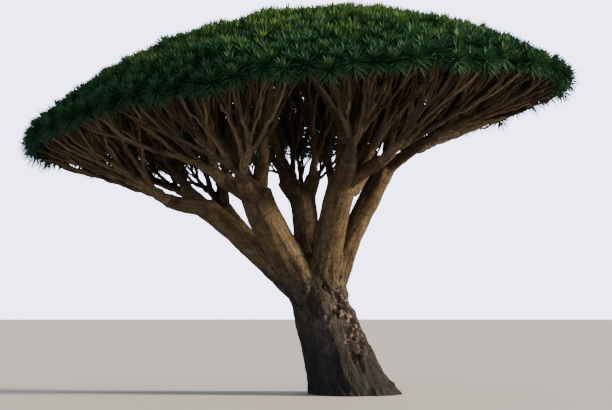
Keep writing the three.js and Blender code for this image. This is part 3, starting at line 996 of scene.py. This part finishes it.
def noise_of(tree, vector, scale, detail=3.0, roughness=0.55, distortion=0.0):
    node = add_node(tree, "ShaderNodeTexNoise", {
        "Vector": vector, "Scale": scale, "Detail": detail, "Roughness": roughness,
        "Distortion": distortion})
    return node.outputs["Fac"]


def drawn_out(tree, vector, stretch, pattern):
    """A noise pattern drawn out along or across the grain."""
    return noise_of(tree, scaled(tree, vector, stretch), *pattern)


def span(tree, value, low, high, to_low=0.0, to_high=1.0):
    """A value's range from low to high drawn out to another range, eased at both ends."""
    node = add_node(tree, "ShaderNodeMapRange", {
        "Value": value, "From Min": low, "From Max": high, "To Min": to_low, "To Max": to_high},
        interpolation_type="SMOOTHSTEP")
    return node.outputs["Result"]


COLOUR_A, COLOUR_B, COLOUR_RESULT = 6, 7, 2


def mixed(tree, share, first, second):
    """Two colours mixed by a share."""
    inputs = {"Factor": share, COLOUR_A: first, COLOUR_B: second}
    return add_node(tree, "ShaderNodeMix", inputs, data_type="RGBA").outputs[COLOUR_RESULT]


def sums(tree, first, second, operation="ADD"):
    node = add_node(tree, "ShaderNodeMath", {0: first, 1: second}, operation=operation)
    return node.outputs["Value"]


def share_of(tree, value, share):
    return sums(tree, value, share, "MULTIPLY")


def opaque(colour, strength=1.0):
    return (*(part * strength for part in colour), 1.0)


def new_group(name, inputs):
    """An empty node group with named inputs, and the sockets that give them inside it."""
    group = bpy.data.node_groups.new(name, "ShaderNodeTree")
    for label, kind, default in inputs:
        socket = group.interface.new_socket(label, in_out="INPUT", socket_type=kind)
        if default is not None:
            socket.default_value = default
    return group, group.nodes.new("NodeGroupInput").outputs


def put_out(group, values):
    """Gives a node group one output for each named value."""
    for label in values:
        group.interface.new_socket(label, in_out="OUTPUT", socket_type="NodeSocketFloat")
    made = group.nodes.new("NodeGroupOutput")
    for label, value in values.items():
        group.links.new(value, made.inputs[label])


# Patterns are the scale, detail, roughness and distortion of a noise. Stretches draw one out along the
# grain or across it. Spans are the range in which a pattern counts, and for some the range it is drawn to.
STREAK_STRETCH = (1, 1, 0.12)
STREAK_PATTERN = (22, 5, 0.62, 0.3)
RING_STRETCH = (0.25, 0.25, 1)
RING_PATTERN = (26, 4, 0.6, 0.4)
CRACK_STRETCH = (1, 1, 0.35)
CRACK_SCALE = 16
CRACK_SPAN = (0.0, 0.09, 1.0, 0.0)
FINE_PATTERN = (60, 4, 0.65)
FINE_HEIGHT = 0.5
CRACK_DEPTH = 0.6


@lru_cache(maxsize=1)
def bark_grain_group():
    """Streaks, rings, cracks and their height along the grain of a bark."""
    group, given = new_group(
        "bark grain", [("Grain", "NodeSocketVector", None), ("Fineness", "NodeSocketFloat", 1.0)])
    grain = add_node(group, "ShaderNodeVectorMath", {
        0: given["Grain"], "Scale": given["Fineness"]}, operation="SCALE").outputs["Vector"]
    streaks = drawn_out(group, grain, STREAK_STRETCH, STREAK_PATTERN)
    rings = drawn_out(group, grain, RING_STRETCH, RING_PATTERN)
    cells = add_node(group, "ShaderNodeTexVoronoi", {
        "Vector": scaled(group, grain, CRACK_STRETCH), "Scale": CRACK_SCALE, "Randomness": 1.0},
        feature="DISTANCE_TO_EDGE")
    cracks = span(group, cells.outputs["Distance"], *CRACK_SPAN)
    fine = share_of(group, noise_of(group, grain, *FINE_PATTERN), FINE_HEIGHT)
    height = sums(group, sums(group, streaks, rings), fine)
    height = sums(group, height, share_of(group, cracks, CRACK_DEPTH), "SUBTRACT")
    put_out(group, {"Streaks": streaks, "Rings": rings, "Cracks": cracks, "Height": height})
    return group


PATCH_PATTERN = (3.2, 5, 0.65)
PATCH_SHARE = 0.6
SPECK_STRETCH = (1, 1, 0.3)
SPECK_PATTERN = (30, 4, 0.7)
SPECK_SHARE = 0.4
LICHEN_SPAN = (0.51, 0.62)
STAIN_STRETCH = (1, 1, 0.4)
STAIN_PATTERN = (7, 4, 0.6)
STAIN_SPAN = (0.47, 0.63)


@lru_cache(maxsize=1)
def weathering_group():
    """Where lichen crusts and damp stains lie on a bark."""
    group, given = new_group(
        "weathering", [("Position", "NodeSocketVector", None), ("Grain", "NodeSocketVector", None)])
    patches = share_of(group, noise_of(group, given["Position"], *PATCH_PATTERN), PATCH_SHARE)
    specks = share_of(group, drawn_out(group, given["Grain"], SPECK_STRETCH, SPECK_PATTERN), SPECK_SHARE)
    stains = drawn_out(group, given["Grain"], STAIN_STRETCH, STAIN_PATTERN)
    put_out(group, {
        "Lichen": span(group, sums(group, patches, specks), *LICHEN_SPAN),
        "Stain": span(group, stains, *STAIN_SPAN),
    })
    return group


STREAK_SPAN = (0.35, 0.7)
RING_SPAN = (0.4, 0.75)
SHADE_SHARE = 0.42
STAIN_SHARE = 0.6


def bark_tone(tree, grain, weathering, colour, dark, lichen, lichen_share):
    """A bark's colour: darker in streaks, rings and cracks, with stains and pale crusts."""
    streaks = span(tree, grain.outputs["Streaks"], *STREAK_SPAN)
    rings = span(tree, grain.outputs["Rings"], *RING_SPAN)
    shade = sums(tree, sums(tree, streaks, rings), grain.outputs["Cracks"])
    tone = mixed(tree, share_of(tree, shade, SHADE_SHARE), opaque(colour), opaque(dark))
    tone = mixed(tree, share_of(tree, weathering.outputs["Stain"], STAIN_SHARE), tone, opaque(dark))
    return mixed(tree, share_of(tree, weathering.outputs["Lichen"], lichen_share), tone, opaque(lichen))


def bark_nodes(tree, fineness):
    """The object coordinates, and the two bark effects fed with them and with the mesh's own grain."""
    position = add_node(tree, "ShaderNodeTexCoord").outputs["Object"]
    along = add_node(tree, "ShaderNodeAttribute", attribute_name="grain").outputs["Vector"]
    grain = add_node(
        tree, "ShaderNodeGroup", {"Grain": along, "Fineness": fineness}, node_tree=bark_grain_group())
    weathering = add_node(
        tree, "ShaderNodeGroup", {"Position": position, "Grain": along}, node_tree=weathering_group())
    return position, grain, weathering


WIDE_SPAN = (0.2, 0.8)
BUMP_STRENGTH = 0.8
BARK_SHINE = 0.3


def finish_bark(tree, grain, colour, depth, roughness):
    """Gives a bark its colour, the bumps of its grain, and a roughness that varies with its streaks."""
    shader = tree.nodes["Principled BSDF"]
    bump = add_node(tree, "ShaderNodeBump", {
        "Height": grain.outputs["Height"], "Strength": BUMP_STRENGTH, "Distance": depth})
    dullness = span(tree, grain.outputs["Streaks"], *WIDE_SPAN, *roughness)
    tree.links.new(bump.outputs["Normal"], shader.inputs["Normal"])
    tree.links.new(colour, shader.inputs["Base Color"])
    tree.links.new(dullness, shader.inputs["Roughness"])
    shader.inputs["Specular IOR Level"].default_value = BARK_SHINE


# Painted shade: the range of the relief over which the furrows darken
PAINTED_FURROW_SHADE_SPAN = (-0.55, 0.35, 1.0, 0.0)


def painted_furrow_shade_and_scar(tree):
    """Painted shade, the deeper the skin lies in its furrows, and how scarred it is, from the mesh's own
    relief.
    """
    relief = add_node(tree, "ShaderNodeAttribute", attribute_name="relief").outputs["Vector"]
    parts = add_node(tree, "ShaderNodeSeparateXYZ", {"Vector": relief})
    return span(tree, parts.outputs["Y"], *PAINTED_FURROW_SHADE_SPAN), parts.outputs["Z"]


BOUGH_LICHEN = 0.3
BOUGH_PAINTED_FURROW_SHADE = 0.75
BOUGH_BUMP = 0.016
BOUGH_ROUGHNESS = (0.7, 0.92)


@lru_cache(maxsize=1)
def bough_bark():
    colours = bpy.context.scene.dragon_tree.bark_colours
    material, tree = new_material("bough bark")
    _, grain, weathering = bark_nodes(tree, 1.0)
    tone = bark_tone(
        tree, grain, weathering, colours.bough, colours.bough_dark, colours.lichen, BOUGH_LICHEN)
    painted_furrow_shade, _ = painted_furrow_shade_and_scar(tree)
    # Painted shade in the furrows: darker the deeper the skin lies
    tone = mixed(tree, share_of(tree, painted_furrow_shade, BOUGH_PAINTED_FURROW_SHADE), tone, opaque(colours.bough_dark))
    finish_bark(tree, grain, tone, BOUGH_BUMP, BOUGH_ROUGHNESS)
    return material


def own_tone(tree, tone, darkest, palest):
    """A bark's colour, darker or paler from branch to branch, told apart by where their grain starts."""
    along = add_node(tree, "ShaderNodeAttribute", attribute_name="grain").outputs["Vector"]
    place = add_node(tree, "ShaderNodeSeparateXYZ", {"Vector": along}).outputs["Z"]
    number = sums(tree, sums(tree, place, GRAIN_GAP, "DIVIDE"), 0.0, "FLOOR")
    chance = add_node(tree, "ShaderNodeTexWhiteNoise", {"W": number}, noise_dimensions="1D")
    strength = add_node(tree, "ShaderNodeMapRange", {
        "Value": chance.outputs["Value"], "To Min": darkest, "To Max": palest})
    return scaled(tree, tone, strength.outputs["Result"])


BRANCH_LICHEN = 0.2
BRANCH_ROUGHNESS = (0.62, 0.85)


def branch_bark(name, fineness, depth, darkest, palest):
    colours = bpy.context.scene.dragon_tree.bark_colours
    material, tree = new_material(name)
    _, grain, weathering = bark_nodes(tree, fineness)
    tone = bark_tone(
        tree, grain, weathering, colours.twig, colours.bough_dark, colours.lichen, BRANCH_LICHEN)
    finish_bark(tree, grain, own_tone(tree, tone, darkest, palest), depth, BRANCH_ROUGHNESS)
    return material


# The trunk's bark: the heights over which it turns into that of its boughs and of its foot, and its spots,
# streaks, pits of painted shade and crusts
TRUNK_LICHEN = 0.7
EDGE_PATTERN = (3.5, 3)
BOUGH_TONE_SPAN = (1.45, 2.2)
FOOT_TONE_SPAN = (0.5, 1.45, 0.92, 0.0)
SPOT_PATTERN = (7, 3, 0.6)
SPOT_SPAN = (0.55, 0.68, 0.0, 0.75)
FOOT_STREAK_STRETCH = (1, 1, 0.16)
FOOT_STREAK_PATTERN = (9, 3, 0.6)
FOOT_STREAK_SPAN = (0.42, 0.6)
TRUNK_PAINTED_FURROW_SHADE = 0.8
PAINTED_PIT_PATTERN = (8, 3, 0.6)
PAINTED_PIT_SPAN = (0.44, 0.53)
PAINTED_PIT_SHADE = 0.3
CRUST_PATTERN = (14, 4, 0.7)
CRUST_SPAN = (0.47, 0.58)
SCAR_SHARE = 0.92
TRUNK_BUMP = 0.024
TRUNK_ROUGHNESS = (0.8, 0.96)


def trunk_and_foot_tone(tree, position, grain, weathering, colours):
    """The trunk's bark, with dark spots, its cold grey streaks below and the boughs' bark above."""
    dark = opaque(colours.trunk_dark)
    bough_tone = bark_tone(
        tree, grain, weathering, colours.bough, colours.bough_dark, colours.lichen, BOUGH_LICHEN)
    trunk_tone = bark_tone(
        tree, grain, weathering, colours.trunk, colours.trunk_dark, colours.lichen, TRUNK_LICHEN)
    parts = add_node(tree, "ShaderNodeSeparateXYZ", {"Vector": position})
    wander = sums(tree, noise_of(tree, position, *EDGE_PATTERN), 0.5, "SUBTRACT")
    height = sums(tree, parts.outputs["Z"], wander)
    tone = mixed(tree, span(tree, height, *BOUGH_TONE_SPAN), trunk_tone, bough_tone)
    tone = mixed(tree, span(tree, noise_of(tree, position, *SPOT_PATTERN), *SPOT_SPAN), tone, dark)
    streaks = drawn_out(tree, position, FOOT_STREAK_STRETCH, FOOT_STREAK_PATTERN)
    foot_tone = mixed(tree, span(tree, streaks, *FOOT_STREAK_SPAN), dark, opaque(colours.foot))
    return mixed(tree, span(tree, height, *FOOT_TONE_SPAN), tone, foot_tone)


def scar_tone(tree, position, colours):
    """Dried resin with pale crusts, and painted shade for dark pits."""
    crust = span(tree, noise_of(tree, position, *CRUST_PATTERN), *CRUST_SPAN)
    pits = span(tree, noise_of(tree, position, *PAINTED_PIT_PATTERN), *PAINTED_PIT_SPAN)
    tone = mixed(tree, crust, opaque(colours.scar), opaque(colours.crust))
    # Painted shade: the pits darkened to near black
    return mixed(tree, pits, tone, opaque(colours.scar, PAINTED_PIT_SHADE))


@lru_cache(maxsize=1)
def trunk_bark():
    colours = bpy.context.scene.dragon_tree.bark_colours
    material, tree = new_material("trunk bark")
    position, grain, weathering = bark_nodes(tree, 1.0)
    painted_furrow_shade, scar = painted_furrow_shade_and_scar(tree)
    tone = trunk_and_foot_tone(tree, position, grain, weathering, colours)
    # Painted shade in the furrows: darker the deeper the skin lies
    tone = mixed(tree, share_of(tree, painted_furrow_shade, TRUNK_PAINTED_FURROW_SHADE), tone, opaque(colours.trunk_dark))
    tone = mixed(tree, share_of(tree, scar, SCAR_SHARE), tone, scar_tone(tree, position, colours))
    finish_bark(tree, grain, tone, TRUNK_BUMP, TRUNK_ROUGHNESS)
    return material


LEAF_PATTERN = (9, 3, 0.6)
LEAF_SPAN = (0.35, 0.65)
LEAF_SHADE = 0.7
LEAF_ROUGHNESS = (0.5, 0.68)
LEAF_SHINE = 0.22


@lru_cache(maxsize=None)
def leaf_finish(tint):
    """One plain green with a faint mottle, and the satin of a stiff leaf."""
    colour = getattr(bpy.context.scene.dragon_tree.leaf_colours, tint)
    material, tree = new_material(f"{tint} leaf")
    shader = tree.nodes["Principled BSDF"]
    position = add_node(tree, "ShaderNodeTexCoord").outputs["Object"]
    mottle = noise_of(tree, position, *LEAF_PATTERN)
    tone = mixed(tree, span(tree, mottle, *LEAF_SPAN), opaque(colour, LEAF_SHADE), opaque(colour))
    tree.links.new(tone, shader.inputs["Base Color"])
    tree.links.new(span(tree, mottle, *WIDE_SPAN, *LEAF_ROUGHNESS), shader.inputs["Roughness"])
    shader.inputs["Specular IOR Level"].default_value = LEAF_SHINE
    return material


FLOOR_PATTERN = (0.35, 4, 0.6)
FLOOR_SHADE = 0.93
FLOOR_RETURN = 0.37
FLOOR_ROUGHNESS = (0.75, 0.9)


def floor_finish(colour):
    """Pale to the eye, but it sends less light up under the crown than it seems to."""
    material, tree = new_material("pale floor")
    shader = tree.nodes["Principled BSDF"]
    position = add_node(tree, "ShaderNodeTexCoord").outputs["Object"]
    cloud = noise_of(tree, position, *FLOOR_PATTERN)
    seen = mixed(tree, cloud, opaque(colour, FLOOR_SHADE), opaque(colour))
    is_seen = add_node(tree, "ShaderNodeLightPath").outputs["Is Camera Ray"]
    tone = mixed(tree, is_seen, opaque(colour, FLOOR_RETURN), seen)
    tree.links.new(tone, shader.inputs["Base Color"])
    tree.links.new(span(tree, cloud, *WIDE_SPAN, *FLOOR_ROUGHNESS), shader.inputs["Roughness"])
    return material


# Stage

FLOOR_RADIUS = 400
FLOOR_SIDES = 128
AIM_X = -0.74
AIM_HEIGHT = 3.16
SENSOR = 36
BACKDROP_SEEN = 5.6

# Suns: where each is drawn, the way it shines, its softness in degrees, and its colour
SUNS = {
    "key": dict(place=(20, -3, 13), heading=(-0.91, 0.1, -0.31), softness=14, colour=(1.0, 0.82, 0.60)),
    "fill": dict(place=(-6, -18, 4), heading=(0.3, 0.95, 0.02), softness=40, colour=(1, 1, 1)),
    "back": dict(place=(6, 18, 8), heading=(-0.35, -0.9, -0.4), softness=60, colour=(1, 1, 1)),
}


def make_floor(colour):
    mesh = bpy.data.meshes.new("floor")
    shape = bmesh.new()
    bmesh.ops.create_circle(shape, cap_ends=True, segments=FLOOR_SIDES, radius=FLOOR_RADIUS)
    shape.to_mesh(mesh)
    shape.free()
    mesh.materials.append(floor_finish(colour))
    floor = bpy.data.objects.new("floor", mesh)
    bpy.context.collection.objects.link(floor)


def make_world(stage):
    """A plain pale backdrop, with its own strength for the light that it gives."""
    world = bpy.data.worlds.new("room")
    world.use_nodes = True
    bpy.context.scene.world = world
    tree = world.node_tree
    seen = add_node(tree, "ShaderNodeLightPath").outputs["Is Camera Ray"]
    strength = add_node(tree, "ShaderNodeMapRange", {
        "Value": seen, "To Min": stage.backdrop_light, "To Max": BACKDROP_SEEN})
    background = tree.nodes["Background"]
    background.inputs["Color"].default_value = opaque(stage.backdrop)
    tree.links.new(strength.outputs["Result"], background.inputs["Strength"])


def add_sun(name, energy, place, heading, softness, colour):
    data = bpy.data.lights.new(name, "SUN")
    data.energy = energy
    data.angle = math.radians(softness)
    data.color = colour
    sun = bpy.data.objects.new(name, data)
    sun.location = place
    sun.rotation_euler = Vector(heading).to_track_quat("-Z", "Y").to_euler()
    bpy.context.collection.objects.link(sun)


def make_camera(stage):
    data = bpy.data.cameras.new("camera")
    data.sensor_width = SENSOR
    data.lens = SENSOR * stage.distance / stage.field_width
    data.clip_end = 4 * FLOOR_RADIUS
    camera = bpy.data.objects.new("camera", data)
    camera.location = (AIM_X, -stage.distance, stage.eye_height)
    aim = Vector((AIM_X, 0, AIM_HEIGHT)) - camera.location
    camera.rotation_euler = aim.to_track_quat("-Z", "Y").to_euler()
    bpy.context.collection.objects.link(camera)
    bpy.context.scene.camera = camera


# Operators

class DRAGON_TREE_OT_trunk(bpy.types.Operator):
    """Skins the trunk from the ground to the feet of its boughs"""
    bl_idname = "dragon_tree.trunk"
    bl_label = "Trunk"

    def execute(self, context):
        mesh = part_of_skin(skin_of_wood(), "trunk_skin", False)
        place_piece("trunk_skin", mesh, trunk_bark(), ["trunk"])
        return {"FINISHED"}


class DRAGON_TREE_OT_boughs(bpy.types.Operator):
    """Skins the boughs and the limbs that they divide into"""
    bl_idname = "dragon_tree.boughs"
    bl_label = "Boughs and limbs"

    def execute(self, context):
        mesh = part_of_skin(skin_of_wood(), "bough_skin", True)
        nodes = nodes_named("bough_") + nodes_named("limb_")
        place_piece("bough_skin", mesh, bough_bark(), nodes)
        return {"FINISHED"}


class DRAGON_TREE_OT_branches(bpy.types.Operator):
    """Grows the branches of every mass of foliage, down to the twig of each rosette"""
    bl_idname = "dragon_tree.branches"
    bl_label = "Branches"

    def execute(self, context):
        waist = context.scene.dragon_tree.wood.waist
        branches = plan_tree().branches
        thick = [branch for branch in branches if branch[0][2] >= THICK_BRANCH]
        thin = [branch for branch in branches if branch[0][2] < THICK_BRANCH]
        masses = nodes_named("foliage_")
        thick_bark = branch_bark("branch bark", fineness=1.3, depth=0.01, darkest=0.5, palest=1.35)
        thin_bark = branch_bark("twig bark", fineness=2.0, depth=0.005, darkest=0.2, palest=1.9)
        place_piece("branches", branches_mesh("branches", thick, waist), thick_bark, masses)
        place_piece("twigs", branches_mesh("twigs", thin, waist), thin_bark, masses)
        return {"FINISHED"}


class DRAGON_TREE_OT_leaves(bpy.types.Operator):
    """Opens a rosette of sword leaves on each twig, in sprays of five greens"""
    bl_idname = "dragon_tree.leaves"
    bl_label = "Leaves"

    def execute(self, context):
        leaf = context.scene.dragon_tree.leaf
        plan = plan_tree()
        draws = np.random.default_rng(SEED)
        axes = rosette_axes(plan.facing, draws)
        corners = rosette_leaves(plan.points, axes, leaf, draws)
        tint_of_leaf = deal_tints(plan.points, leaf.per_rosette, draws)
        masses = nodes_named("foliage_")
        for number, tint in enumerate(TINTS):
            own = corners[tint_of_leaf == number].reshape(-1, 3)
            name = f"leaves_{tint}"
            place_piece(name, leaves_mesh(name, own), leaf_finish(tint), masses)
        return {"FINISHED"}


class DRAGON_TREE_OT_stage(bpy.types.Operator):
    """Sets the floor, the backdrop, the lights and the camera"""
    bl_idname = "dragon_tree.stage"
    bl_label = "Stage"

    def execute(self, context):
        stage = context.scene.dragon_tree.stage
        make_floor(stage.floor)
        make_world(stage)
        for name, sun in SUNS.items():
            add_sun(name, getattr(stage, f"{name}_light"), **sun)
        make_camera(stage)
        return {"FINISHED"}


class DRAGON_TREE_PT_panel(bpy.types.Panel):
    """Lists the steps and the settings of the tree"""
    bl_label = "Dragon tree"
    bl_space_type = "VIEW_3D"
    bl_region_type = "UI"
    bl_category = "Dragon tree"

    def draw(self, context):
        for operator in OPERATORS:
            self.layout.operator(operator.bl_idname)
        settings = context.scene.dragon_tree
        for part in TreeSettings.__annotations__:
            group = getattr(settings, part)
            box = self.layout.box()
            for name in group.__annotations__:
                box.prop(group, name)


OPERATORS = [
    DRAGON_TREE_OT_trunk,
    DRAGON_TREE_OT_boughs,
    DRAGON_TREE_OT_branches,
    DRAGON_TREE_OT_leaves,
    DRAGON_TREE_OT_stage,
]
CLASSES = [
    WoodSettings, LeafSettings, BarkColours, LeafColours, StageSettings, TreeSettings,
    *OPERATORS, DRAGON_TREE_PT_panel,
]


def register():
    for item in CLASSES:
        bpy.utils.register_class(item)
    bpy.types.Scene.dragon_tree = bpy.props.PointerProperty(type=TreeSettings)


def unregister():
    del bpy.types.Scene.dragon_tree
    for item in reversed(CLASSES):
        bpy.utils.unregister_class(item)


def main():
    register()
    bpy.ops.dragon_tree.trunk()
    bpy.ops.dragon_tree.boughs()
    bpy.ops.dragon_tree.branches()
    bpy.ops.dragon_tree.leaves()
    bpy.ops.dragon_tree.stage()


if __name__ == "__main__":
    main()
